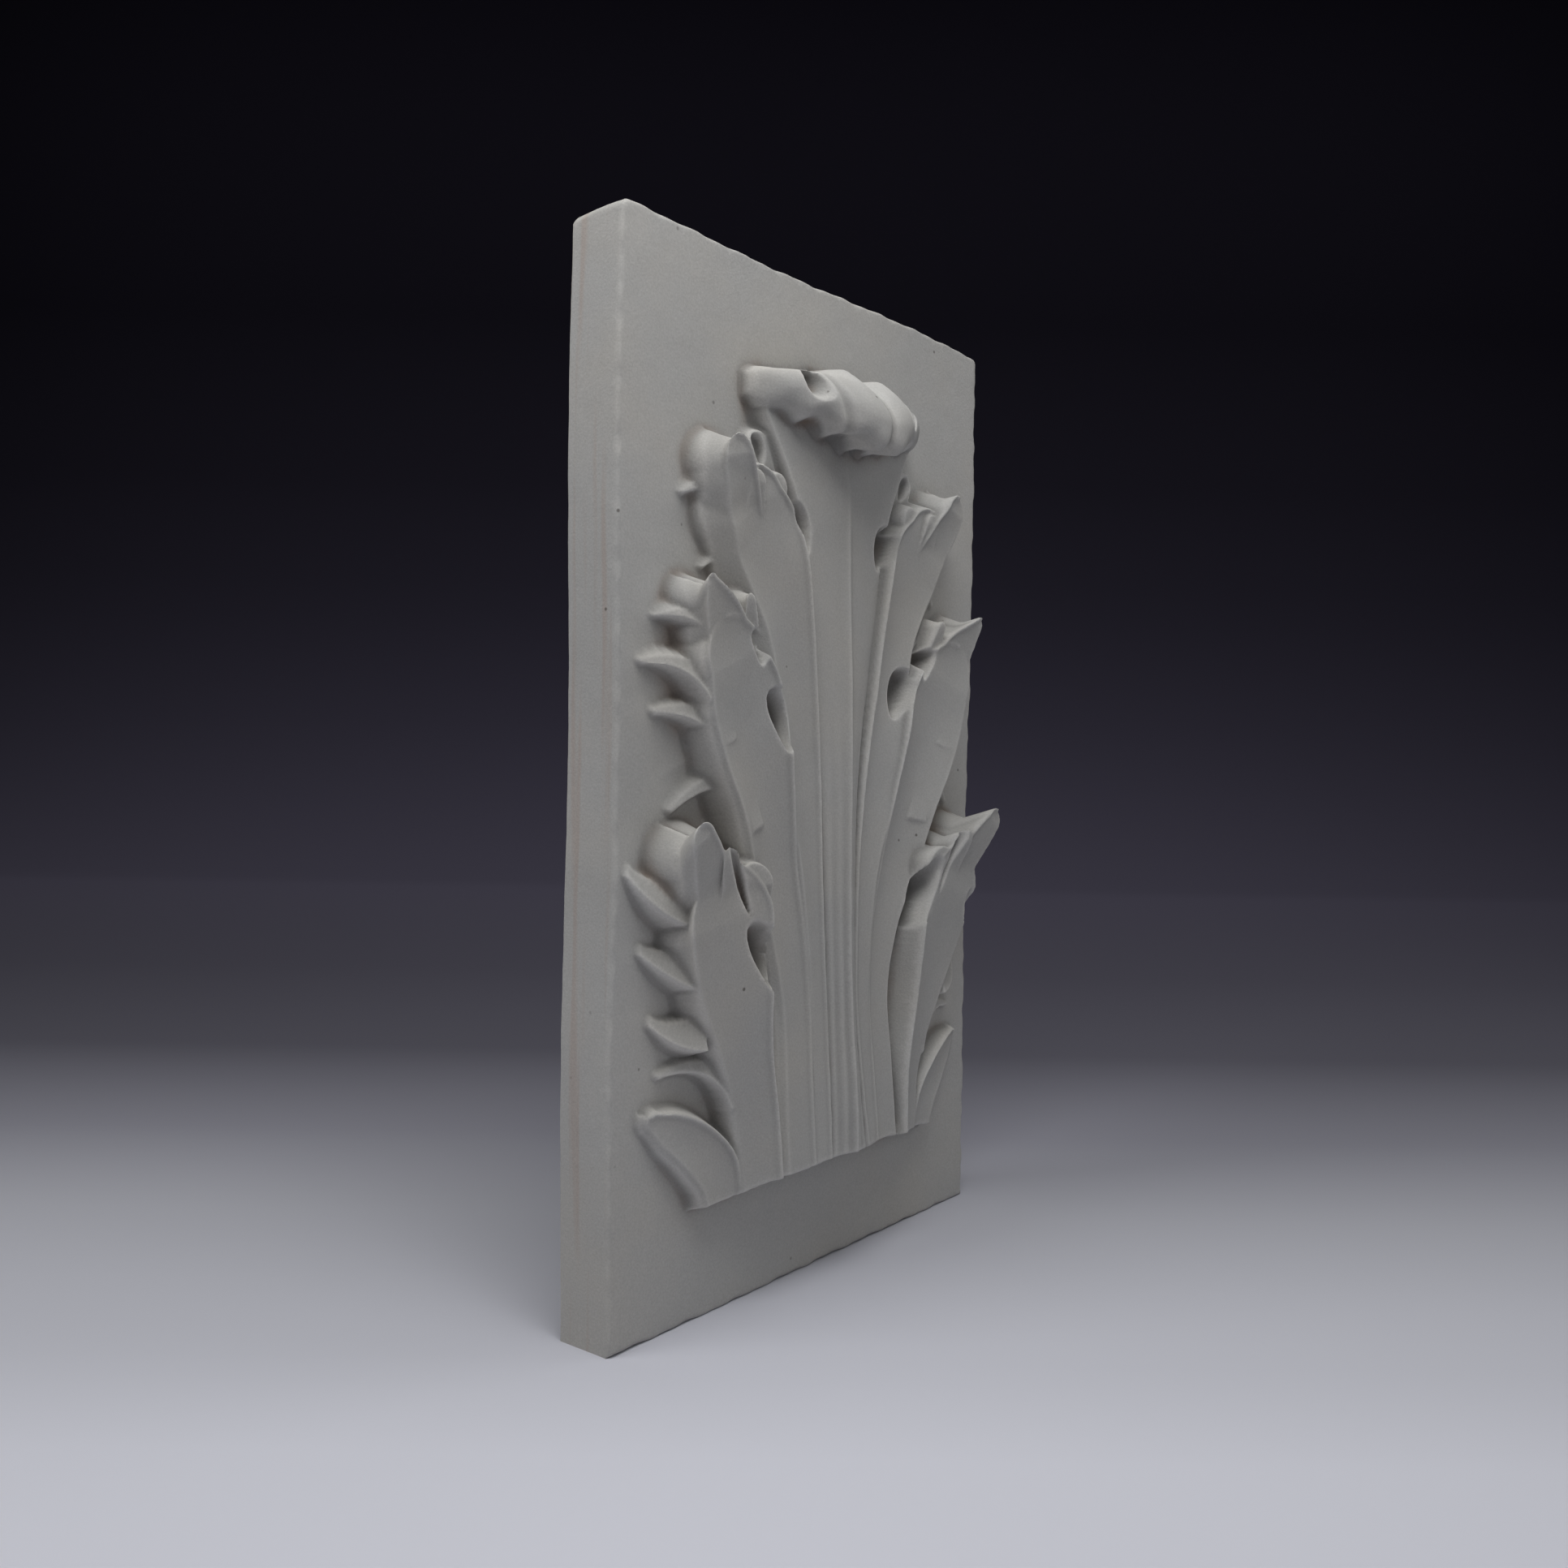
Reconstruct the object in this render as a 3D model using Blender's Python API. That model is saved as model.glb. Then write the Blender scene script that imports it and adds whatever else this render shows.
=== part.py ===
"""Plaster cast of an acanthus leaf in high relief on an upright slab.

Metres, +Z up, the carved face toward -Y, the slab's foot on z = 0.
"""
import bmesh
import bpy
import numpy as np

OBJECT_NAME = "acanthus_relief"

# Slab
SLAB_HEIGHT = 0.600
SLAB_WIDTH = 0.360
SLAB_THICKNESS = 0.037
FRONT = -SLAB_THICKNESS / 2
EDGE_WAVE = 0.0012
EDGE_CHAMFER = 0.002
TOP_CORNER = 0.008

# Leaf: the carving is worked out in 475ths of its height, so it grows with it
LEAF_HEIGHT = 0.475
LEAF_FOOT = 0.065
GRAIN = LEAF_HEIGHT / 475

# Mesh
GRID_STEP = 0.002
FACETS = 9000

OFF = -50.0
FILLET = 2.5

# Centre stem, foot to top: up, half-width, height in the middle, height at the edge
STEM = [
    (0, 20, 30, 26),
    (50, 17, 28, 21),
    (100, 15, 24, 18),
    (170, 16.5, 21.5, 15.5),
    (235, 20, 20.5, 14),
    (295, 29, 19, 13.5),
    (345, 37, 17, 14),
    (375, 42, 16.5, 14),
    (403, 50, 17, 15),
    (446, 74, 16, 12),
]
RIB_WIDTH = 4.0
RIB_HEIGHT = 3.2
RIB_TOP = 430
RIB_FADE = 60
# Under the rolled tip the stem falls away to the slab
STEM_END = 16
STEM_END_FALL = 1.5
FOOT_CUT = 4

# Lobes, foot to tip: across, up, half-width, height in the middle, rise at the inner and at the outer edge
TOP_LOBE = [
    (26, 0, 7, 27, 0, -2),
    (23, 50, 7, 22.5, 0, -1),
    (22, 100, 7.5, 19, -1, 0),
    (25.5, 150, 9, 16.5, 0, 1.5),
    (30, 186, 11.5, 15, 1, 3),
    (38, 227, 16, 14.5, 2, 5),
    (43, 257, 17, 14.5, 3, 7),
    (48, 288, 17.5, 14, 5, 5),
    (56, 325, 20, 14, 6, 3),
    (66, 352, 25, 14, 7, 2),
    (77, 374, 28, 15, 4, 1),
    (88, 389, 24, 17, 2, 1),
]
TOP_TIP = [
    (86, 366, 16, 10, 0, 0),
    (97, 383, 17, 16, 2, 1),
    (106, 396, 16, 21, 2, 1),
    (111, 403, 14, 25, 1, 0),
]
MIDDLE_LOBE = [
    (44, 0, 12, 24, 1, 0),
    (43, 50, 12, 20, 1, 0.5),
    (42, 100, 12, 16, 1.5, 1),
    (50, 145, 15, 14, 2, 3),
    (64, 183, 20, 13.5, 3, 6),
    (77, 225, 24, 15, 6, 8),
    (89, 256, 29, 16, 8, 8),
    (99, 283, 30, 18, 4, 6),
    (108, 301, 24, 21, 1, 4),
]
MIDDLE_TIP = [
    (106, 300, 18, 16, 0, 0),
    (117, 316, 17, 22, 2, 0),
    (125, 326, 11, 26, 2, 0),
    (131, 334, 5, 29, 0, 0),
]
LOW_LOBE = [
    (76, 0, 12, 20, 6, -3),
    (81, 45, 14, 18, 6, -3),
    (92, 85, 18, 19, 6, -1),
    (104, 125, 27, 22, 6, -1),
    (111, 157, 30, 26, 3, 1),
]
LOW_TIP = [
    (114, 154, 18, 17, 0, 0),
    (124, 173, 15, 26, 1, 0),
    (131, 186, 12, 33, 1, 0),
    (136, 194, 9, 37.5, 0, 0),
]
FOOT_LOBE = [
    (101, 0, 12, 12, 2, 0),
    (107, 20, 14, 12, 3, 0),
    (123, 37, 13, 10.5, 4, 0),
    (140, 49, 10, 8.5, 3, -1),
    (152, 56, 5, 6, 1, -1),
]

# Walls: how steeply a surface falls away
STEM_WALL = 1.6
CLIFF = 3.0
LOBE_BLEND = 1.0
# Lobes with the slope outside the inner and the outer edge, and how far the outer edge rolls over
LOBES = [
    (TOP_LOBE, 1.6, 0.8, 13),
    (TOP_TIP, 3.5, 1.3, 9),
    (MIDDLE_LOBE, 1.6, 0.8, 5),
    (MIDDLE_TIP, 3.5, 1.6, 8),
    (LOW_LOBE, 1.6, 0.8, 2),
    (LOW_TIP, 3.0, 1.6, 9),
    (FOOT_LOBE, 1.6, 0.8, 4),
]

# Leaflets along the outer edges: root across and up, tip across and up, bow upward, facet width, root height
LEAFLETS = [
    (110, 388, 131, 391, 3, 9, 15),
    (66, 309, 109, 364, -7, 4, 15),
    (134, 316, 156, 322, 3, 9, 22),
    (129, 272, 166, 297, 9, 16, 24),
    (117, 248, 156, 271, 8, 17, 24),
    (89, 198, 141, 219, 24, 16, 21),
    (139, 158, 175, 187, -5, 30, 22),
    (127, 122, 164, 145, -3, 28, 21),
    (118, 90, 155, 106, -5, 26, 19),
    (98, 46, 147, 77, 14, 14, 17),
]
LEAFLET_TIP = 5
FACET_SLOPE = 0.3
FACET_WALL = 1.5
WEB_HEIGHT = 0.2
WEB_FALL = 0.2
# Teeth on the inner edges: root across and up, tip across and up, half-width at root and tip, tip height
TEETH = [
    (88, 376, 91, 402, 10, 7, 21),
    (72, 372, 69, 403, 11, 8, 18),
    (93, 302, 98, 334, 10, 4, 24),
    (107, 158, 113, 186, 11, 7, 33),
    (91, 150, 93, 178, 13, 11, 29),
    (60, 390, 75, 426, 11, 9, 8),
]
TOOTH_WALL = 2.5
# Eyes: side (left -1, right 1, both 0), across, up, half-width, half-length, lean, floor
EYES = [
    (-1, 43.5, 383, 7.5, 13, 0.42, 1),
    (1, 41, 381, 10.5, 13.5, 0.30, 1),
    (0, 75, 424, 5.5, 8, 0.45, 1),
    (-1, 67, 271, 7, 13, 0.35, 1),
    (1, 60.5, 291, 10, 15, 0.30, 1),
    (0, 87, 311, 5.5, 7, 0.20, 4),
    (-1, 84, 138, 7, 13, 0.35, 3),
    (1, 80, 157, 7, 17, 0.38, 4),
    (1, 138, 143, 3.5, 7, 0.0, 8),
    (0, 103, 174, 1.8, 11, 0.45, 21),
]
EYE_WALL = 4.6
EYE_CORE = 0.78

# The leaf's tip, rolled forward over the stem: across, middle up, half-height above and below, how far out
HOOD = [
    (0, 458, 17, 21, 49),
    (8, 459, 20, 24, 51.5),
    (20, 460, 21, 24, 49.5),
    (31, 459, 19, 20, 43),
    (42, 459, 17, 17, 37),
    (55, 459, 16, 16, 30),
    (68, 459, 14, 15, 24),
    (78, 461, 11, 12, 16),
    (84, 461, 7, 7, 7),
]
HOOD_HALF = 83
HOOD_TOP = 452
HOOD_LEAN = 0.55
HOOD_LEAN_FROM = 26
HOOD_LEAN_UP = 415
HOOD_LEAN_FADE = 25
HOOD_BLEND = 3
TOP_ROUND = 2.4
UNDER_ROUND = 3.0
CREASE = 3
CREASE_WIDTH = 2
SCALLOP_PITCH = 23
SCALLOP_AT = 9
SCALLOP_DEPTH = 3.6
SCALLOP_SPREAD = 0.12

# Lobe tips curl out and up where they stand higher than this
CURL_FROM = 20
CURL_OUT = 0.9
CURL_UP = 0.75
CURL_ACROSS = 85
CURL_TOP = 450
CURL_FADE = 20


def curve_through(stations, steps=6):
    """Rows of a smooth curve through the stations (Catmull-Rom)."""
    given = np.array(stations, float)
    ends = np.vstack([2 * given[0] - given[1], given, 2 * given[-1] - given[-2]])
    rows = []
    for a, b, c, d in zip(ends[:-3], ends[1:-2], ends[2:-1], ends[3:]):
        for t in np.linspace(0, 1, steps, endpoint=False):
            rows.append(0.5 * (2 * b + (c - a) * t + (2 * a - 5 * b + 4 * c - d) * t ** 2
                               + (3 * b - a - 3 * c + d) * t ** 3))
    rows.append(given[-1])
    return np.array(rows)


def nearest_on(across, up, rows):
    """Blended row, turn to the side (inner +1, outer -1) and distance of the curve's nearest point."""
    best = np.full(across.shape, 1e9)
    blended = np.zeros(across.shape + (rows.shape[1],))
    sideways = np.zeros(across.shape)
    for start, end in zip(rows[:-1], rows[1:]):
        run, rise = end[0] - start[0], end[1] - start[1]
        length = np.hypot(run, rise)
        t = np.clip(((across - start[0]) * run + (up - start[1]) * rise) / length ** 2, 0, 1)
        off_run = across - (start[0] + t * run)
        off_rise = up - (start[1] + t * rise)
        gap = off_run ** 2 + off_rise ** 2
        closer = gap < best
        best[closer] = gap[closer]
        blended[closer] = start + t[closer][:, None] * (end - start)
        sideways[closer] = ((run * off_rise - rise * off_run) / length)[closer]
    gap = np.sqrt(best)
    return blended, np.clip(sideways / np.maximum(gap, 1e-6), -1, 1), gap


def within(across, up, rows, reach):
    """Which points are near enough to a curve to be touched by it."""
    low = rows[:, :2].min(axis=0) - reach
    high = rows[:, :2].max(axis=0) + reach
    return (across > low[0]) & (across < high[0]) & (up > low[1]) & (up < high[1])


def blade(across, up, stations, inner_wall, outer_wall, band):
    """Height of a hollow, tilted blade with walls that fall away outside its edges."""
    rows = curve_through(stations)
    height = np.full(across.shape, OFF)
    near = within(across, up, rows, rows[:, 2].max() + 40)
    row, turn, gap = nearest_on(across[near], up[near], rows)
    half_width = np.maximum(row[:, 2], 0.5)
    share = np.minimum(gap / half_width, 1)
    tilt = (row[:, 4] - row[:, 5]) / 2
    hollow = (row[:, 4] + row[:, 5]) / 2
    top = row[:, 3] + hollow * share ** 2 + tilt * share * turn
    wall = outer_wall + (inner_wall - outer_wall) * (0.5 + 0.5 * turn)
    out = np.maximum(0, gap - half_width)
    rolled = band * (turn < 0)
    fall = wall * np.minimum(out, rolled) + np.maximum(wall, CLIFF) * np.maximum(0, out - rolled)
    height[near] = top - fall
    return height


def join(a, b, blend):
    """Higher of two surfaces, with a soft valley where they meet."""
    share = np.clip(0.5 + 0.5 * (a - b) / blend, 0, 1)
    return b + (a - b) * share + blend * share * (1 - share)


def leaflet(across, up, root_across, root_up, tip_across, tip_up, bow, width, root_height):
    """A crest from the lobe out to the tip, a facet that slopes up to it and a hollow beneath."""
    root = np.array([root_across, root_up])
    tip = np.array([tip_across, tip_up])
    along = tip - root
    aside = np.array([-along[1], along[0]]) / np.hypot(*along)
    rows = []
    for t in np.linspace(0, 1, 9):
        place = root + along * t + aside * bow * 4 * t * (1 - t)
        crest = root_height + (LEAFLET_TIP - root_height) * t ** 1.5
        rows.append([place[0], place[1], width * (1 - 0.8 * t), crest])
    rows = np.array(rows)
    height = np.full(across.shape, OFF)
    near = within(across, up, rows, 40)
    row, turn, gap = nearest_on(across[near], up[near], rows)
    above = 0.5 + 0.5 * turn
    facet = FACET_SLOPE * np.minimum(gap, row[:, 2]) + FACET_WALL * np.maximum(0, gap - row[:, 2])
    beneath = CLIFF * gap
    web = WEB_HEIGHT * row[:, 3] - WEB_FALL * gap
    height[near] = join(row[:, 3] - facet * above - beneath * (1 - above), web, 2)
    return height


def tooth_stations(from_across, from_up, to_across, to_up, root_half, tip_half, tip_height):
    """A small upright blade, highest at its end."""
    middle = ((from_across + to_across) / 2, (from_up + to_up) / 2)
    return [
        (from_across, from_up, root_half, 0.6 * tip_height, 1, 1),
        (middle[0], middle[1], (root_half + tip_half) / 2, 0.8 * tip_height, 1.5, 1),
        (to_across, to_up, tip_half, tip_height, 0, 0),
    ]


def hood(x, up):
    """The leaf's tip, curled forward over the stem, with a scalloped underside."""
    across = np.abs(x)
    rows = curve_through(HOOD)
    middle, above, below, out = (np.interp(across, rows[:, 0], rows[:, column]) for column in (1, 2, 3, 4))
    scallop = np.cos(2 * np.pi * (across - SCALLOP_AT) / SCALLOP_PITCH)
    rise = up - middle
    under = np.clip(-rise / below, 0, 1)
    offset = np.where(rise > 0, rise / above, -rise / (below * (1 + SCALLOP_SPREAD * scallop)))
    power = np.where(rise > 0, TOP_ROUND, UNDER_ROUND)
    inside = np.clip(1 - np.abs(offset) ** power, 0, 1) ** (1 / power)
    shape = out * inside - SCALLOP_DEPTH * under * (0.5 - 0.5 * scallop)
    shape = shape - CREASE * np.exp(-(x / CREASE_WIDTH) ** 2)
    return np.where((offset < 1) & (across < HOOD_HALF + 1), shape, OFF)


def carve_eye(height, x, up, eye):
    """Cuts a teardrop pit, narrow end down."""
    side, eye_across, eye_up, half_width, half_length, lean, floor = eye
    along = (up - eye_up) / half_length
    wide = half_width * np.clip(0.82 + 0.35 * along, 0.3, 1.2)
    beside = (np.abs(x) - eye_across - lean * (up - eye_up)) / wide
    outside = np.maximum(0, np.sqrt(beside ** 2 + along ** 2) - EYE_CORE)
    carved = np.minimum(height, floor + EYE_WALL * half_width * outside)
    return np.where(x * side >= 0, carved, height)


def relief_height(x, up):
    """Height of the carving off the slab's face, both in leaf units."""
    across = np.abs(x)
    stem = [(0, foot, half, middle, edge - middle, edge - middle) for foot, half, middle, edge in STEM]
    height = blade(x, up, stem, STEM_WALL, STEM_WALL, 0)
    height = np.where(up > HOOD_TOP, np.minimum(height, STEM_END - STEM_END_FALL * (up - HOOD_TOP)), height)
    for stations, inner_wall, outer_wall, band in LOBES:
        height = join(height, blade(across, up, stations, inner_wall, outer_wall, band), LOBE_BLEND)
    for row in LEAFLETS:
        height = join(height, leaflet(across, up, *row), LOBE_BLEND)
    for tooth in TEETH:
        stations = tooth_stations(*tooth)
        height = join(height, blade(across, up, stations, TOOTH_WALL, TOOTH_WALL, 0), LOBE_BLEND)
    rib = RIB_HEIGHT * np.exp(-np.abs(x / RIB_WIDTH) ** 1.4)
    height = height + rib * np.clip((RIB_TOP - up) / RIB_FADE, 0, 1)
    for eye in EYES:
        height = carve_eye(height, x, up, eye)
    height = join(height, hood(x, up), HOOD_BLEND)
    height = np.minimum(height, np.maximum(5 * (up - FOOT_CUT), -5))
    return join(height, np.zeros_like(height), FILLET)


def hood_lean(x, up, height):
    """How far the curled tip hangs down in front of the stem."""
    share = np.clip(1 - (x / HOOD_HALF) ** 2, 0, 1) * np.clip((up - HOOD_LEAN_UP) / HOOD_LEAN_FADE, 0, 1)
    return -HOOD_LEAN * share * np.maximum(0, height - HOOD_LEAN_FROM)


def tip_curl(x, up, height):
    """How far the lobes' tips curl away from the stem, as a length."""
    share = np.clip((np.abs(x) - CURL_ACROSS) / CURL_FADE, 0, 1) * np.clip((CURL_TOP - up) / CURL_FADE, 0, 1)
    return share * np.maximum(0, height - CURL_FROM)


def soften(height):
    """One light smoothing pass over the grid of heights."""
    padded = np.pad(height, 1, mode="edge")
    beside = padded[:-2, 1:-1] + padded[2:, 1:-1] + padded[1:-1, :-2] + padded[1:-1, 2:]
    return 0.5 * height + 0.125 * beside


def round_top_corners(x, z):
    """Pulls the slab's square top corners in to rounded ones."""
    out = np.abs(x) - (SLAB_WIDTH / 2 - TOP_CORNER)
    above = z - (SLAB_HEIGHT - TOP_CORNER)
    corner = (out > 0) & (above > 0)
    far = np.hypot(out, above)
    shrink = np.where(corner, np.maximum(out, above) / np.where(corner, far, 1), 1)
    x = np.where(corner, np.sign(x) * (SLAB_WIDTH / 2 - TOP_CORNER + out * shrink), x)
    z = np.where(corner, SLAB_HEIGHT - TOP_CORNER + above * shrink, z)
    return x, z


def wavy_edges(x, z):
    """The slab was cast by hand: its sides and top are not quite straight."""
    left = EDGE_WAVE * np.cos(11 * z / SLAB_HEIGHT + 0.4)
    right = EDGE_WAVE * np.sin(9 * z / SLAB_HEIGHT + 1.0)
    share = x / SLAB_WIDTH + 0.5
    moved_x = x * (1 - 2 * EDGE_WAVE / SLAB_WIDTH) + left * (1 - share) + right * share
    dip = EDGE_WAVE * (np.cos(8 * share + 0.5) - 1)
    return moved_x, z + dip * (z / SLAB_HEIGHT) ** 4


def face_grid():
    """The carved face as a grid mesh: a Blender grid with every vertex moved onto the relief."""
    columns = round(SLAB_WIDTH / GRID_STEP)
    rows = round(SLAB_HEIGHT / GRID_STEP)
    mesh = bpy.data.meshes.new(OBJECT_NAME)
    work = bmesh.new()
    bmesh.ops.create_grid(work, x_segments=columns, y_segments=rows, size=0.5)
    work.to_mesh(mesh)
    work.free()
    flat = np.empty(len(mesh.vertices) * 3)
    mesh.vertices.foreach_get("co", flat)
    flat = flat.reshape(-1, 3)
    x = flat[:, 0] * SLAB_WIDTH
    z = (flat[:, 1] + 0.5) * SLAB_HEIGHT
    leaf_x = x / GRAIN
    leaf_up = (z - LEAF_FOOT) / GRAIN
    height = relief_height(leaf_x, leaf_up)
    height = soften(height.reshape(rows + 1, columns + 1)).ravel()
    border = np.minimum(SLAB_WIDTH / 2 - np.abs(x), np.minimum(z, SLAB_HEIGHT - z))
    y = FRONT - GRAIN * height + np.maximum(0, EDGE_CHAMFER - border)
    x, z = round_top_corners(x, z)
    x, z = wavy_edges(x, z)
    curl = tip_curl(leaf_x, leaf_up, height)
    x = x + GRAIN * CURL_OUT * np.sign(leaf_x) * curl
    z = z + GRAIN * (CURL_UP * curl + hood_lean(leaf_x, leaf_up, height))
    mesh.vertices.foreach_set("co", np.stack([x, y, z], axis=1).ravel())
    return mesh


def close_slab(mesh):
    """Draws the face's border back to the slab's back and closes it."""
    work = bmesh.new()
    work.from_mesh(mesh)
    border = [edge for edge in work.edges if edge.is_boundary]
    drawn = bmesh.ops.extrude_edge_only(work, edges=border)["geom"]
    back = [item for item in drawn if isinstance(item, bmesh.types.BMVert)]
    for vertex in back:
        vertex.co.y = FRONT + SLAB_THICKNESS
    rim = [item for item in drawn if isinstance(item, bmesh.types.BMEdge)]
    bmesh.ops.contextual_create(work, geom=rim)
    bmesh.ops.triangulate(work, faces=work.faces[:])
    bmesh.ops.recalc_face_normals(work, faces=work.faces[:])
    work.to_mesh(mesh)
    work.free()


def plaster():
    """Bare cast plaster."""
    material = bpy.data.materials.new("plaster")
    material.use_nodes = True
    shader = material.node_tree.nodes["Principled BSDF"]
    shader.inputs["Base Color"].default_value = (0.56, 0.54, 0.50, 1)
    shader.inputs["Roughness"].default_value = 0.9
    shader.inputs["Metallic"].default_value = 0
    return material


def main():
    for old in list(bpy.data.objects):
        bpy.data.objects.remove(old)
    collection = bpy.data.collections.new(OBJECT_NAME)
    bpy.context.scene.collection.children.link(collection)
    mesh = face_grid()
    close_slab(mesh)
    mesh.materials.append(plaster())
    relief = bpy.data.objects.new("relief", mesh)
    collection.objects.link(relief)
    thin = relief.modifiers.new("facets", "DECIMATE")
    thin.ratio = FACETS / len(mesh.polygons)


main()
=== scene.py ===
import math

import bmesh
import bpy
import numpy as np
from mathutils import Matrix, Vector


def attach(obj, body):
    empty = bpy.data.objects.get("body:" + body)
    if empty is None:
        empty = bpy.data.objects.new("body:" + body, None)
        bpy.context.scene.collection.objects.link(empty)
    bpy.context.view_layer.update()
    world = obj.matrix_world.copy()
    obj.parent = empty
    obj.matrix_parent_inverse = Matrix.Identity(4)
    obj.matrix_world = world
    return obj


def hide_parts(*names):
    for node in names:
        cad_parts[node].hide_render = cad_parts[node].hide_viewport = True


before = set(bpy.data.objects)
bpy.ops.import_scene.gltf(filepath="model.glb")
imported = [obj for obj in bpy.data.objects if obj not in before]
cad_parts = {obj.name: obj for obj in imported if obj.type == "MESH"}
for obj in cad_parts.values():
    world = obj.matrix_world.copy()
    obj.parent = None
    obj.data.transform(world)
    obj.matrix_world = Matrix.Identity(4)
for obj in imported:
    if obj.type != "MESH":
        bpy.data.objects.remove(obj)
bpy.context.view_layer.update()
print("frame loaded")

# The slab the leaf is cast on, in metres. x runs to the right, z up, the face looks toward -y.
slab = {
    "height": 0.600,
    "width": 0.360,
    "thickness": 0.037,
    "topCorner": 0.006,  # radius of the top corners at the face, growing to the back's
    "backCorner": 0.014,
    "edgeWear": 0.0022,  # how far the worn edges are rounded back
    # waves that make the wear uneven: along z, along x, start
    "knocks": [(61, 83, 0), (149, -57, 2), (397, 311, 0)],
    "knockShares": (0.5, 0.2),
    "edgeWave": 0.0012,  # how far the sides and top stray from straight
    "leftWave": (11, 0.4),  # radians from foot to top, start
    "rightWave": (9, 1.0),
    "topWave": (8, 0.5),  # radians from left to right, start
    "step": 0.0011,  # spacing of the surface points
    "quickStep": 0.0024,
    "sideRings": 14,
    "triangles": 188000,
}
slab["front"] = -slab["thickness"] / 2

# The leaf. Its height and its place above the slab's foot are in metres,
# and all carving sizes are in 475ths of its height.
leaf = {
    "height": 0.475,
    "foot": 0.065,
    "fillet": 4.5,  # where the carving meets the slab
    "curlFrom": 20,  # tips curl out and up above this height
    "curlOut": 0.9,
    "curlUp": 0.75,
    "curlFade": 20,
    "curlAcross": 85,  # only tips that reach this far out curl
    "curlTop": 450,
    "lip": 1.5,  # the thin raised line along a lobe's inner edge
    "lipInset": 1.4,
    "lipWidth": 1.3,
    "cliff": 3.0,  # slope of the steep sides
    "lobeBlend": 1.0,
    "leafletBlend": 1.2,
    "hoodBlend": 3,
    "toothWall": 2.5,
    "cutAt": 4,  # where the foot is cut off nearly square
    "cutSlope": 5,
    "cutWave": (0.6, 9.0),
    "cutBow": 0.0004,
    # the hollows and crests that the plaster's colour follows: reach in metres, full depth
    "recessReach": 0.010,
    "recessDepth": 10,
    "crestReach": 0.0022,
    "crestHeight": 0.8,
}
unit = leaf["height"] / 475
off = -50.0  # the height of a form outside its own reach
reach = 40  # how far beyond its edge a form is worked out

# Stem, foot to top: up, half-width, height in the middle, height at the edge
stem = {
    "stations": [
        (0, 20, 30, 26),
        (50, 17, 28, 21),
        (100, 15, 24, 18),
        (170, 16.5, 21.5, 15.5),
        (235, 20, 20.5, 14),
        (295, 29, 19, 13.5),
        (345, 37, 17, 14),
        (375, 42, 16.5, 14),
        (403, 50, 17, 15),
        (446, 74, 16, 12),
    ],
    "wall": 1.6,
    "end": (16, 1.5),  # height and fall where the stem runs out above the hood's foot
    "ribWidth": 3.4,
    "ribHeight": 3.2,
    "ribPower": 1.4,
    "ribTop": 430,
    "ribFade": 60,
    "flutes": 2.5,
    "fluteDepth": 0.6,
    "fluteTop": 300,
    "fluteFade": 200,
}

# Lobes, foot to tip: across, up, half-width, height in the middle,
# rise at the inner edge, rise at the outer edge
lobes = {
    "top": [
        (26, 0, 7, 27, 0, -2),
        (23, 50, 7, 22.5, 0, -1),
        (22, 100, 7.5, 19, -1, 0),
        (25.5, 150, 9, 16.5, 0, 1.5),
        (30, 186, 11.5, 15, 1, 3),
        (38, 227, 16, 14.5, 2, 5),
        (43, 257, 17, 14.5, 3, 7),
        (48, 288, 17.5, 14, 5, 5),
        (56, 325, 20, 14, 6, 3),
        (66, 352, 25, 14, 7, 2),
        (77, 374, 28, 15, 4, 1),
        (88, 389, 24, 17, 2, 1),
    ],
    "topTip": [
        (86, 366, 14, 10, 0, 0),
        (97, 384, 14, 16, 2, 1),
        (105, 400, 13, 21, 2, 1),
        (108, 409, 11, 25, 1, 0),
    ],
    "middle": [
        (44, 0, 12, 24, 1, 0),
        (43, 50, 12, 20, 1, 0.5),
        (42, 100, 12, 16, 1.5, 1),
        (50, 145, 15, 14, 2, 3),
        (64, 183, 20, 13.5, 3, 6),
        (77, 225, 24, 15, 6, 8),
        (89, 256, 29, 16, 8, 8),
        (99, 283, 30, 18, 4, 6),
        (108, 301, 24, 21, 1, 4),
    ],
    "middleTip": [
        (106, 300, 18, 16, 0, 0),
        (117, 316, 17, 22, 2, 0),
        (125, 326, 11, 26, 2, 0),
        (131, 334, 5, 29, 0, 0),
    ],
    "low": [
        (76, 0, 12, 20, 6, -3),
        (81, 45, 14, 18, 6, -3),
        (92, 85, 18, 19, 6, -1),
        (104, 125, 27, 22, 6, -1),
        (111, 157, 30, 26, 3, 1),
    ],
    "lowTip": [
        (114, 154, 18, 17, 0, 0),
        (124, 173, 15, 26, 1, 0),
        (131, 186, 12, 33, 1, 0),
        (136, 194, 9, 37.5, 0, 0),
    ],
    "foot": [
        (101, 0, 12, 12, 2, 0),
        (107, 20, 14, 12, 3, 0),
        (123, 37, 13, 10.5, 4, 0),
        (140, 49, 10, 8.5, 3, -1),
        (152, 56, 5, 6, 1, -1),
    ],
}

# Each lobe's slope outside its inner edge and its outer edge,
# and how far the outer edge rolls over at that slope
edges = {
    "top": (1.6, 0.8, 13),
    "topTip": (3.5, 1.3, 9),
    "middle": (1.6, 0.8, 5),
    "middleTip": (3.5, 1.6, 8),
    "low": (1.6, 0.8, 2),
    "lowTip": (3.0, 1.6, 9),
    "foot": (1.6, 0.8, 4),
}

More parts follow.
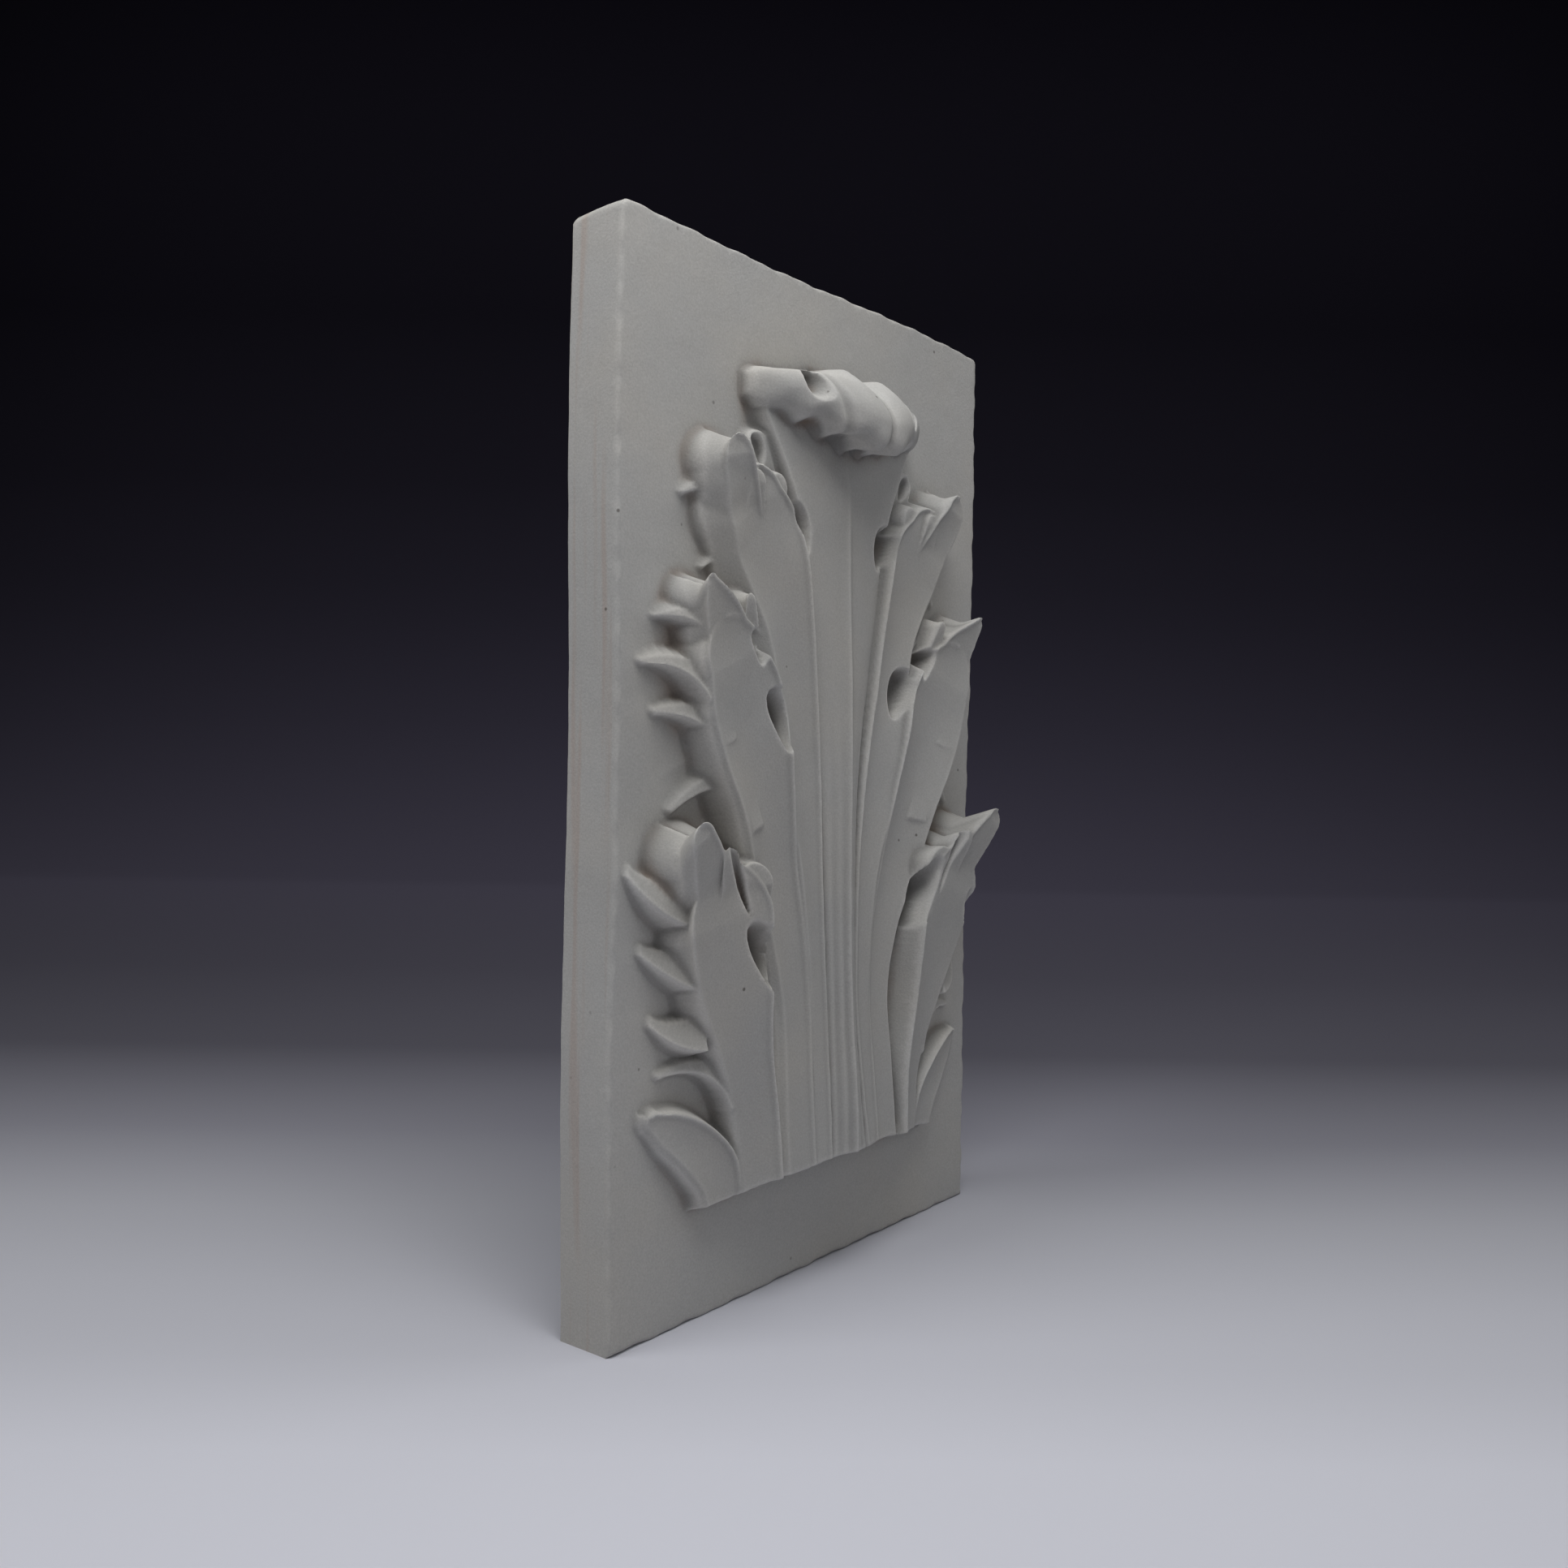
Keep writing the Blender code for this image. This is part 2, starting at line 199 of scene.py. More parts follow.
# Leaflets along the outer edges: root across, root up, tip across, tip up,
# bow upward, facet width, root height
leaflets = [
    (110, 388, 134, 390, 4, 11, 13),
    (96, 352, 118, 352, 5, 8, 10),
    (66, 309, 109, 364, -7, 4, 15),
    (134, 316, 156, 322, 3, 9, 22),
    (129, 272, 166, 297, 9, 16, 24),
    (117, 248, 156, 271, 8, 17, 24),
    (89, 198, 141, 219, 24, 16, 21),
    (139, 158, 175, 187, -5, 30, 22),
    (127, 122, 164, 145, -3, 28, 21),
    (118, 90, 155, 106, -5, 26, 19),
    (98, 46, 147, 77, 14, 14, 17),
]
leafletForm = {
    "tipHeight": 5,
    "taper": 0.8,
    "fall": 1.5,  # power of the crest's fall to its tip
    "facetSlope": 0.30,
    "facetWall": 1.5,
    "hollowSlope": 3.2,
    "web": 0.2,  # height and fall of the skin that joins it to the slab
    "webBlend": 2,
    "sink": 8,  # how far the root dives under the lobe
    "sinkShare": 0.1,
}

# Teeth on the lobes' inner edges: root across and up, tip across and up,
# half-width at root and tip, tip height
teeth = [
    (88, 376, 91, 402, 10, 7, 21),
    (72, 372, 69, 403, 11, 8, 18),
    (93, 302, 98, 334, 10, 4, 24),
    (107, 158, 113, 186, 11, 7, 33),
    (91, 150, 93, 178, 13, 11, 29),
    (60, 390, 75, 426, 11, 9, 8),
]
# Eyes: side (left -1, right 1, both 0), across, up, half-width, half-length, lean, floor
eyes = [
    (-1, 43.5, 383, 7.5, 13, 0.42, 1),
    (1, 41, 381, 10.5, 13.5, 0.30, 1),
    (0, 75, 424, 5.5, 8, 0.45, 1),
    (-1, 67, 271, 7, 13, 0.35, 1),
    (1, 60.5, 291, 10, 15, 0.30, 1),
    (0, 87, 311, 5.5, 7, 0.20, 4),
    (-1, 84, 138, 7, 13, 0.35, 3),
    (1, 80, 157, 7, 17, 0.38, 4),
    (1, 138, 143, 3.5, 7, 0.0, 8),
    (0, 103, 174, 1.8, 11, 0.45, 21),
]
eyeForm = {
    "middle": 0.82,  # share of the half-width at mid-height, and how it grows upward
    "growth": 0.35,
    "narrowest": 0.3,
    "widest": 1.2,
    "core": 0.78,  # share that is flat floor
    "wall": 4.6,
}

# The leaf's tip, rolled forward over the stem: across, middle up,
# half-height above and below, how far out
hood = {
    "half": 83,
    "top": 452,
    "lean": 0.55,
    "stations": [
        (0, 458, 17, 21, 49),
        (8, 459, 20, 24, 51.5),
        (20, 460, 21, 24, 49.5),
        (31, 459, 19, 20, 43),
        (42, 459, 17, 17, 37),
        (55, 459, 16, 16, 30),
        (68, 459, 14, 15, 24),
        (78, 461, 11, 12, 16),
        (84, 461, 7, 7, 7),
    ],
    "upperPower": 2.4,  # how square the round above and below the middle is
    "lowerPower": 3.0,
    "leanFrom": 26,  # the lean starts at this height off the face
    "leanFoot": 415,
    "leanFade": 25,
    "toothPitch": 23,  # the underside is scalloped
    "toothAt": 9,
    "toothDepth": 3.6,
    "toothSpread": 0.12,
    "crease": 3,
    "creaseWidth": 1.8,
    "fold": (34, 3.0),  # where the round end meets the frill, depth
    "foldLean": 0.3,
    "foldWidth": 3,
    "hole": (51, 466, 5, 5.5, 12),  # across, up, half-width, half-height, floor
    "holeCore": 0.7,
    "holeWall": 22,
}


def curveThrough(stations, steps=8):
    # Catmull-Rom through every column of the stations
    given = np.array(stations, float)
    ends = np.vstack([2 * given[0] - given[1], given, 2 * given[-1] - given[-2]])
    rows = []
    for a, b, c, d in zip(ends[:-3], ends[1:-2], ends[2:-1], ends[3:]):
        for t in np.linspace(0, 1, steps, endpoint=False):
            curved = (2 * a - 5 * b + 4 * c - d) * t**2 + (3 * b - a - 3 * c + d) * t**3
            rows.append(0.5 * (2 * b + (c - a) * t + curved))
    rows.append(given[-1])
    return np.array(rows)


def nearestOn(across, up, rows):
    # blended row, sideways offset (left of the way along is +) and distance of the curve's nearest point
    best = np.full(across.shape, 1e9)
    blended = np.zeros(across.shape + (rows.shape[1],))
    sideways = np.zeros(across.shape)
    for start, end in zip(rows[:-1], rows[1:]):
        run, rise = end[0] - start[0], end[1] - start[1]
        length = math.hypot(run, rise)
        t = np.clip(((across - start[0]) * run + (up - start[1]) * rise) / length**2, 0, 1)
        offRun = across - (start[0] + t * run)
        offRise = up - (start[1] + t * rise)
        gap = offRun**2 + offRise**2
        closer = gap < best
        best[closer] = gap[closer]
        blended[closer] = start + t[closer][:, None] * (end - start)
        sideways[closer] = ((run * offRise - rise * offRun) / length)[closer]
    return blended, sideways, np.sqrt(best)


def within(across, up, rows, margin):
    low = rows[:, :2].min(axis=0) - margin
    high = rows[:, :2].max(axis=0) + margin
    return (across > low[0]) & (across < high[0]) & (up > low[1]) & (up < high[1])


def blade(across, up, stations, innerWall, outerWall, band=0.0, lip=0.0, flutes=0.0):
    # a hollow, tilted blade with its own height at either edge, and walls that fall away outside it
    rows = curveThrough(stations)
    height = np.full(across.shape, off)
    near = within(across, up, rows, rows[:, 2].max() + reach)
    row, sideways, gap = nearestOn(across[near], up[near], rows)
    halfWidth = np.maximum(row[:, 2], 0.5)
    share = np.minimum(gap / halfWidth, 1)
    turn = np.clip(sideways / np.maximum(gap, 1e-6), -1, 1)
    tilt = (row[:, 4] - row[:, 5]) / 2
    hollow = (row[:, 4] + row[:, 5]) / 2
    top = row[:, 3] + hollow * share**2 + tilt * share * turn
    top += lip * np.exp(-(((gap - halfWidth + leaf["lipInset"]) / leaf["lipWidth"]) ** 2)) * (turn > 0)
    fade = np.clip((stem["fluteTop"] - row[:, 1]) / stem["fluteFade"], 0, 1)
    top += stem["fluteDepth"] * fade * (flutes > 0) * np.cos(2 * math.pi * flutes * share * turn)
    wall = outerWall + (innerWall - outerWall) * (0.5 + 0.5 * turn)
    out = np.maximum(0, gap - halfWidth)
    band = band * (turn < 0)
    cliff = np.maximum(wall, leaf["cliff"])
    height[near] = top - wall * np.minimum(out, band) - cliff * np.maximum(0, out - band)
    return height


def join(a, b, blend):
    # higher of two surfaces, with a soft valley where they meet
    share = np.clip(0.5 + 0.5 * (a - b) / blend, 0, 1)
    return b + (a - b) * share + blend * share * (1 - share)


def leafletHeight(across, up, rootAcross, rootUp, tipAcross, tipUp, bow, width, rootHeight):
    # a crest from the lobe out to the tip, a facet that slopes up to it and a hollow beneath
    form = leafletForm
    root = np.array([rootAcross, rootUp])
    tip = np.array([tipAcross, tipUp])
    along = tip - root
    aside = np.array([-along[1], along[0]]) / np.hypot(*along)
    rows = []
    for t in np.linspace(0, 1, 11):
        place = root + along * t + aside * bow * 4 * t * (1 - t)
        crest = rootHeight + (form["tipHeight"] - rootHeight) * t ** form["fall"]
        crest = crest - form["sink"] * max(0, 1 - t / form["sinkShare"])
        rows.append([place[0], place[1], width * (1 - form["taper"] * t), crest])
    rows = np.array(rows)
    height = np.full(across.shape, off)
    near = within(across, up, rows, reach)
    row, sideways, gap = nearestOn(across[near], up[near], rows)
    above = 0.5 + 0.5 * np.clip(sideways / np.maximum(gap, 1e-6), -1, 1)
    facet = form["facetSlope"] * np.minimum(gap, row[:, 2])
    facet = facet + form["facetWall"] * np.maximum(0, gap - row[:, 2])
    beneath = form["hollowSlope"] * gap
    web = form["web"] * (row[:, 3] - gap)
    height[near] = join(row[:, 3] - facet * above - beneath * (1 - above), web, form["webBlend"])
    return height


def toothStations(fromAcross, fromUp, toAcross, toUp, rootHalf, tipHalf, tipHeight):
    # a small upright blade, which rises to its end
    middle = ((fromAcross + toAcross) / 2, (fromUp + toUp) / 2)
    return [
        (fromAcross, fromUp, rootHalf, 0.6 * tipHeight, 1, 1),
        (middle[0], middle[1], (rootHalf + tipHalf) / 2, 0.8 * tipHeight, 1.5, 1),
        (toAcross, toUp, tipHalf, tipHeight, 0, 0),
    ]


def hoodHeight(x, up):
    # a bar with rounded ends, scalloped below and creased down the middle,
    # with a fold and a hole in each half
    across = np.abs(x)
    rows = curveThrough(hood["stations"], 6)
    middle, above, below, out = (
        np.interp(across, rows[:, 0], rows[:, column]) for column in (1, 2, 3, 4)
    )
    tooth = np.cos(2 * math.pi * (across - hood["toothAt"]) / hood["toothPitch"])
    rise = up - middle
    under = np.clip(-rise / below, 0, 1)
    below = below * (1 + hood["toothSpread"] * tooth)
    offset = np.where(rise > 0, rise / above, -rise / below)
    power = np.where(rise > 0, hood["upperPower"], hood["lowerPower"])
    inside = np.clip(1 - np.abs(offset) ** power, 0, 1) ** (1 / power)
    shape = out * inside - hood["toothDepth"] * under * (0.5 - 0.5 * tooth)
    shape = shape - hood["crease"] * np.exp(-((x / hood["creaseWidth"]) ** 2))
    foldAt, foldDepth = hood["fold"]
    beside = across - foldAt - hood["foldLean"] * rise
    shape = shape - foldDepth * np.exp(-((beside / hood["foldWidth"]) ** 2))
    shape = np.where((offset < 1) & (across < hood["half"] + 1), shape, off)
    holeAcross, holeUp, holeHalf, holeTall, floor = hood["hole"]
    ring = np.sqrt(((across - holeAcross) / holeHalf) ** 2 + ((up - holeUp) / holeTall) ** 2)
    return np.minimum(shape, floor + hood["holeWall"] * np.maximum(0, ring - hood["holeCore"]))


def carveEye(height, x, up, eye):
    # a teardrop pit, narrow end down
    side, eyeAcross, eyeUp, halfWidth, halfLength, lean, floor = eye
    along = (up - eyeUp) / halfLength
    share = eyeForm["middle"] + eyeForm["growth"] * along
    share = np.clip(share, eyeForm["narrowest"], eyeForm["widest"])
    beside = (np.abs(x) - eyeAcross - lean * (up - eyeUp)) / (halfWidth * share)
    outside = np.maximum(0, np.sqrt(beside**2 + along**2) - eyeForm["core"])
    carved = np.minimum(height, floor + eyeForm["wall"] * halfWidth * outside)
    return np.where(x * side >= 0, carved, height)


def reliefHeight(x, up):
    # height of the carving off the slab's face, in leaf units
    across = np.abs(x)
    rows = []
    for at, half, middle, edge in stem["stations"]:
        rows.append((0, at, half, middle, edge - middle, edge - middle))
    height = blade(x, up, rows, stem["wall"], stem["wall"], flutes=stem["flutes"])
    endHeight, endFall = stem["end"]
    ending = endHeight - endFall * (up - hood["top"])
    height = np.where(up > hood["top"], np.minimum(height, ending), height)
    for name, stations in lobes.items():
        height = join(height, blade(across, up, stations, *edges[name], leaf["lip"]), leaf["lobeBlend"])
    for leaflet in leaflets:
        height = join(height, leafletHeight(across, up, *leaflet), leaf["leafletBlend"])
    for tooth in teeth:
        upright = blade(across, up, toothStations(*tooth), leaf["toothWall"], leaf["toothWall"])
        height = join(height, upright, leaf["lobeBlend"])
    rib = stem["ribHeight"] * np.exp(-np.abs(x / stem["ribWidth"]) ** stem["ribPower"])
    height = height + rib * np.clip((stem["ribTop"] - up) / stem["ribFade"], 0, 1)
    for eye in eyes:
        height = carveEye(height, x, up, eye)
    height = join(height, hoodHeight(x, up), leaf["hoodBlend"])
    swing, spread = leaf["cutWave"]
    cut = up + swing * np.sin(x / spread) + leaf["cutBow"] * x**2 - leaf["cutAt"]
    height = np.minimum(height, leaf["cutSlope"] * np.maximum(cut, -1))
    return join(height, np.zeros_like(height), leaf["fillet"])


def hoodLean(x, up, height):
    # the hood hangs forward, so its high points come down
    share = np.clip(1 - (x / hood["half"]) ** 2, 0, 1)
    share = share * np.clip((up - hood["leanFoot"]) / hood["leanFade"], 0, 1)
    return -hood["lean"] * share * np.maximum(0, height - hood["leanFrom"])


def tipCurl(x, up, height):
    share = np.clip((np.abs(x) - leaf["curlAcross"]) / leaf["curlFade"], 0, 1)
    share = share * np.clip((leaf["curlTop"] - up) / leaf["curlFade"], 0, 1)
    return share * np.maximum(0, height - leaf["curlFrom"])


def blur(values, passes):
    for _ in range(passes):
        padded = np.pad(values, 1, mode="edge")
        beside = padded[:-2, 1:-1] + padded[2:, 1:-1] + padded[1:-1, :-2] + padded[1:-1, 2:]
        values = 0.5 * values + 0.125 * beside
    return values


def roundTopCorners(x, z, radius):
    out = np.abs(x) - (slab["width"] / 2 - radius)
    above = z - (slab["height"] - radius)
    corner = (out > 0) & (above > 0)
    far = np.hypot(out, above)
    shrink = np.where(corner, np.maximum(out, above) / np.where(corner, far, 1), 1)
    x = np.where(corner, np.sign(x) * (slab["width"] / 2 - radius + out * shrink), x)
    z = np.where(corner, slab["height"] - radius + above * shrink, z)
    return x, z


def wavyEdges(x, z):
    # the slab was cast by hand: its sides and top are not quite straight
    wave = slab["edgeWave"]
    leftTurns, leftStart = slab["leftWave"]
    rightTurns, rightStart = slab["rightWave"]
    topTurns, topStart = slab["topWave"]
    rise = z / slab["height"]
    share = x / slab["width"] + 0.5
    left = wave * np.cos(leftTurns * rise + leftStart)
    right = wave * np.sin(rightTurns * rise + rightStart)
    movedX = x * (1 - 2 * wave / slab["width"]) + left * (1 - share) + right * share
    dip = wave * (np.cos(topTurns * share + topStart) - 1)
    return movedX, z + dip * rise**4


def wornBack(x, z):
    # how far each point near the border is drawn back, unevenly along the edge
    waves = [np.sin(byUp * z + byAcross * x + start) for byUp, byAcross, start in slab["knocks"]]
    long, short = slab["knockShares"]
    amount = slab["edgeWear"] * np.clip(1 + long * waves[0] * waves[1] + short * waves[2], 0.5, 2)
    border = np.minimum(slab["width"] / 2 - np.abs(x), np.minimum(z, slab["height"] - z))
    return np.maximum(0, amount - border) ** 2 / amount


def blurOver(values, distance, step):
    # a blur that reaches the given distance whatever the spacing of the points
    return blur(values, max(2, round((distance / step) ** 2 * 1.5))).ravel()


def carvedFace():
    # a flat grid with every point moved onto the relief
    # "recess" keeps the hollows, which get painted shade, "crest" the edges, painted paler as partly
    # wear and partly painted highlight, and, below nought, the creases, which get painted shade
    step = slab["step"]
    columns = round(slab["width"] / step)
    rows = round(slab["height"] / step)
    mesh = bpy.data.meshes.new("relief")
    work = bmesh.new()
    bmesh.ops.create_grid(work, x_segments=columns, y_segments=rows, size=0.5)
    work.to_mesh(mesh)
    work.free()
    flat = np.empty(len(mesh.vertices) * 3)
    mesh.vertices.foreach_get("co", flat)
    flat = flat.reshape(-1, 3)
    x = flat[:, 0] * slab["width"]
    z = (flat[:, 1] + 0.5) * slab["height"]
    leafX = x / unit
    leafUp = (z - leaf["foot"]) / unit
    square = reliefHeight(leafX, leafUp).reshape(rows + 1, columns + 1)
    height = blur(square, 1).ravel()
    recess = (blurOver(square, leaf["recessReach"], step) - height) / leaf["recessDepth"]
    crest = (height - blurOver(square, leaf["crestReach"], step)) / leaf["crestHeight"]
    y = slab["front"] - unit * height + wornBack(x, z)
    x, z = roundTopCorners(x, z, slab["topCorner"])
    x, z = wavyEdges(x, z)
    curl = tipCurl(leafX, leafUp, height)
    x = x + unit * leaf["curlOut"] * np.sign(leafX) * curl
    z = z + unit * (leaf["curlUp"] * curl + hoodLean(leafX, leafUp, height))
    mesh.vertices.foreach_set("co", np.stack([x, y, z], axis=1).ravel())
    for name, values in (("recess", recess), ("crest", crest)):
        stored = mesh.attributes.new(name, "FLOAT", "POINT")
        stored.data.foreach_set("value", np.clip(values, -1, 1).astype(np.float32))
    return mesh


def roundBack(point, radius):
    # draws a point of a ring in to the rounded top corner
    out = abs(point.x) - (slab["width"] / 2 - radius)
    above = point.z - (slab["height"] - radius)
    if out > 0 and above > 0 and math.hypot(out, above) > radius:
        pull = radius / math.hypot(out, above)
        point.x -= math.copysign(out * (1 - pull), point.x)
        point.z += above * (pull - 1)


def closeSlab(mesh):
    # the border is drawn back in rings to the slab's back, then closed
    work = bmesh.new()
    work.from_mesh(mesh)
    edges = [edge for edge in work.edges if edge.is_boundary]
    back = slab["front"] + slab["thickness"]
    first = slab["front"] + slab["edgeWear"]
    for ring in range(1, slab["sideRings"] + 1):
        drawn = bmesh.ops.extrude_edge_only(work, edges=edges)["geom"]
        edges = [item for item in drawn if isinstance(item, bmesh.types.BMEdge)]
        share = ring / slab["sideRings"]
        radius = slab["topCorner"] + (slab["backCorner"] - slab["topCorner"]) * share
        for item in drawn:
            if isinstance(item, bmesh.types.BMVert):
                item.co.y = first + (back - first) * share
                roundBack(item.co, radius)
    bmesh.ops.contextual_create(work, geom=edges)
    bmesh.ops.triangulate(work, faces=work.faces[:])
    bmesh.ops.recalc_face_normals(work, faces=work.faces[:])
    work.to_mesh(mesh)
    work.free()


reliefMesh = carvedFace()
print("face carved:", len(reliefMesh.vertices), "points")
closeSlab(reliefMesh)
relief = bpy.data.objects.new("relief_cast", reliefMesh)
bpy.context.scene.collection.objects.link(relief)


# Hand finish: soft unevenness over the whole cast, in metres. The tree's inputs have these names.
handFinish = {
    "lumpSize": 0.022,
    "lumpDepth": 0.0009,
    "grainSize": 0.0045,
    "grainDepth": 0.00010,
    "seed": 7.0,
}
finishMiddle = 0.85  # the noise value that moves nothing: nearly all of it pushes inward
footHeight = 0.001  # points below this lie on the floor
squareEdge = 60  # degrees, above which an edge is drawn sharp


def noiseNode(tree, position, size, seed, detail):
    noise = tree.nodes.new("ShaderNodeTexNoise")
    noise.noise_dimensions = "4D"
    noise.inputs["Detail"].default_value = detail
    scale = tree.nodes.new("ShaderNodeMath")
    scale.operation = "DIVIDE"
    scale.inputs[0].default_value = 1.0
    tree.links.new(size, scale.inputs[1])
    tree.links.new(scale.outputs[0], noise.inputs["Scale"])
    tree.links.new(position, noise.inputs["Vector"])
    tree.links.new(seed, noise.inputs["W"])
    return noise.outputs["Fac"]


def inward(tree, value, depth):
    # noise value to a push of up to the depth
    node = tree.nodes.new("ShaderNodeMath")
    node.operation = "SUBTRACT"
    tree.links.new(value, node.inputs[0])
    node.inputs[1].default_value = finishMiddle
    push = tree.nodes.new("ShaderNodeMath")
    push.operation = "MULTIPLY"
    tree.links.new(node.outputs[0], push.inputs[0])
    tree.links.new(depth, push.inputs[1])
    return push.outputs[0]


def finishTree(material):
    tree = bpy.data.node_groups.new("handFinish", "GeometryNodeTree")
    tree.interface.new_socket("Geometry", in_out="INPUT", socket_type="NodeSocketGeometry")
    for name in handFinish:
        tree.interface.new_socket(name, in_out="INPUT", socket_type="NodeSocketFloat")
    tree.interface.new_socket("Geometry", in_out="OUTPUT", socket_type="NodeSocketGeometry")
    entry = tree.nodes.new("NodeGroupInput")
    position = tree.nodes.new("GeometryNodeInputPosition").outputs[0]
    normal = tree.nodes.new("GeometryNodeInputNormal").outputs[0]
    seed = entry.outputs["seed"]
    soft = noiseNode(tree, position, entry.outputs["lumpSize"], seed, 2.0)
    lumps = inward(tree, soft, entry.outputs["lumpDepth"])
    rough = noiseNode(tree, position, entry.outputs["grainSize"], seed, 3.0)
    fine = inward(tree, rough, entry.outputs["grainDepth"])
    total = tree.nodes.new("ShaderNodeMath")
    tree.links.new(lumps, total.inputs[0])
    tree.links.new(fine, total.inputs[1])
    push = tree.nodes.new("ShaderNodeVectorMath")
    push.operation = "SCALE"
    tree.links.new(normal, push.inputs[0])
    tree.links.new(total.outputs[0], push.inputs["Scale"])
    moved = tree.nodes.new("GeometryNodeSetPosition")
    tree.links.new(entry.outputs["Geometry"], moved.inputs["Geometry"])
    tree.links.new(push.outputs[0], moved.inputs["Offset"])
    real = tree.nodes.new("GeometryNodeRealizeInstances")
    tree.links.new(moved.outputs[0], real.inputs[0])
    coat = tree.nodes.new("GeometryNodeSetMaterial")
    coat.inputs["Material"].default_value = material
    tree.links.new(real.outputs[0], coat.inputs["Geometry"])
    leave = tree.nodes.new("NodeGroupOutput")
    tree.links.new(coat.outputs[0], leave.inputs["Geometry"])
    return tree


plaster = {
    "colour": (0.465, 0.459, 0.443),
    "warm": (0.465, 0.443, 0.405),
    "pink": (0.44, 0.375, 0.335),  # thin streaks down the slab's left side
    # painted shade: a brown laid into the hollows
    "brownShade": (0.37, 0.27, 0.205),
    # painted shade: a dark grey laid into the hollows
    "darkShade": (0.13, 0.115, 0.095),
    "speck": (0.06, 0.05, 0.04),
    "warmShare": 0.5,
    "pinkShare": 0.65,
    "brownShadeShare": 0.8,
    "darkShadeShare": 0.35,
    "speckShare": 0.7,
    "roughness": 0.92,
    "sheen": 0.25,
    "grainBump": 0.35,
    "grainDepth": 0.0006,
    # painted shade in creases and hollows; crests painted paler, partly wear and partly painted
    # highlight
    "creaseDark": 0.30,
    "edgePale": 0.28,
    "hollowDark": 0.27,
    # painted shade on the raised carving
    "carvingShade": 0.08,
    "cloud": 0.045,
    # how many marks to the metre
    "patches": 14,
    "brownShadeMarks": 26,
    "darkShadeMarks": 60,
    "speckCells": 42,
    "speckGroups": 9,
    "clouds": 7,
    "powder": 900,
    "grain": 700,
    "streaks": (1, 160, 5),
    # where each mark starts and where it is full: noise, hollow, or size of a speck in its cell
    "patchRange": (0.42, 0.68),
    "brownShadeRange": (0.45, 0.62),
    "brownShadeHollow": (0.15, 0.8),
    "darkShadeRange": (0.35, 0.75),
    "darkShadeHollow": (0.35, 1.0),
    "streakRange": (0.52, 0.66),
    "speckRange": (0.055, 0.03),
    "speckGroupRange": (0.48, 0.54),
    "cloudRange": (0.35, 0.65),
    "powderRange": (0.3, 0.7, 0.93, 1.05),
    "crestRange": (-0.8, 0.8),
    # metres from the slab's left edge, behind its face and in front of it
    "sideBand": (0.005, 0.007),
    "sideBehind": (0.001, 0.004),
    "carvingShadeBand": (0.004, 0.014),
}


def mixColour(tree, factor, first, second):
    node = tree.nodes.new("ShaderNodeMix")
    node.data_type = "RGBA"
    for socket, value in ((node.inputs[0], factor), (node.inputs[6], first), (node.inputs[7], second)):
        if isinstance(value, bpy.types.NodeSocket):
            tree.links.new(value, socket)
        elif isinstance(value, tuple):
            socket.default_value = value + (1,)
        else:
            socket.default_value = value
    return node.outputs[2]


def shaderNoise(tree, vector, scale, detail=3.0):
    node = tree.nodes.new("ShaderNodeTexNoise")
    node.inputs["Scale"].default_value = scale
    node.inputs["Detail"].default_value = detail
    tree.links.new(vector, node.inputs["Vector"])
    return node.outputs["Fac"]


def remap(tree, value, low, high, toLow=0.0, toHigh=1.0):
    node = tree.nodes.new("ShaderNodeMapRange")
    node.inputs["From Min"].default_value = low
    node.inputs["From Max"].default_value = high
    node.inputs["To Min"].default_value = toLow
    node.inputs["To Max"].default_value = toHigh
    tree.links.new(value, node.inputs["Value"])
    return node.outputs["Result"]


def times(tree, a, b):
    node = tree.nodes.new("ShaderNodeMath")
    node.operation = "MULTIPLY"
    tree.links.new(a, node.inputs[0])
    if isinstance(b, bpy.types.NodeSocket):
        tree.links.new(b, node.inputs[1])
    else:
        node.inputs[1].default_value = b
    return node.outputs[0]


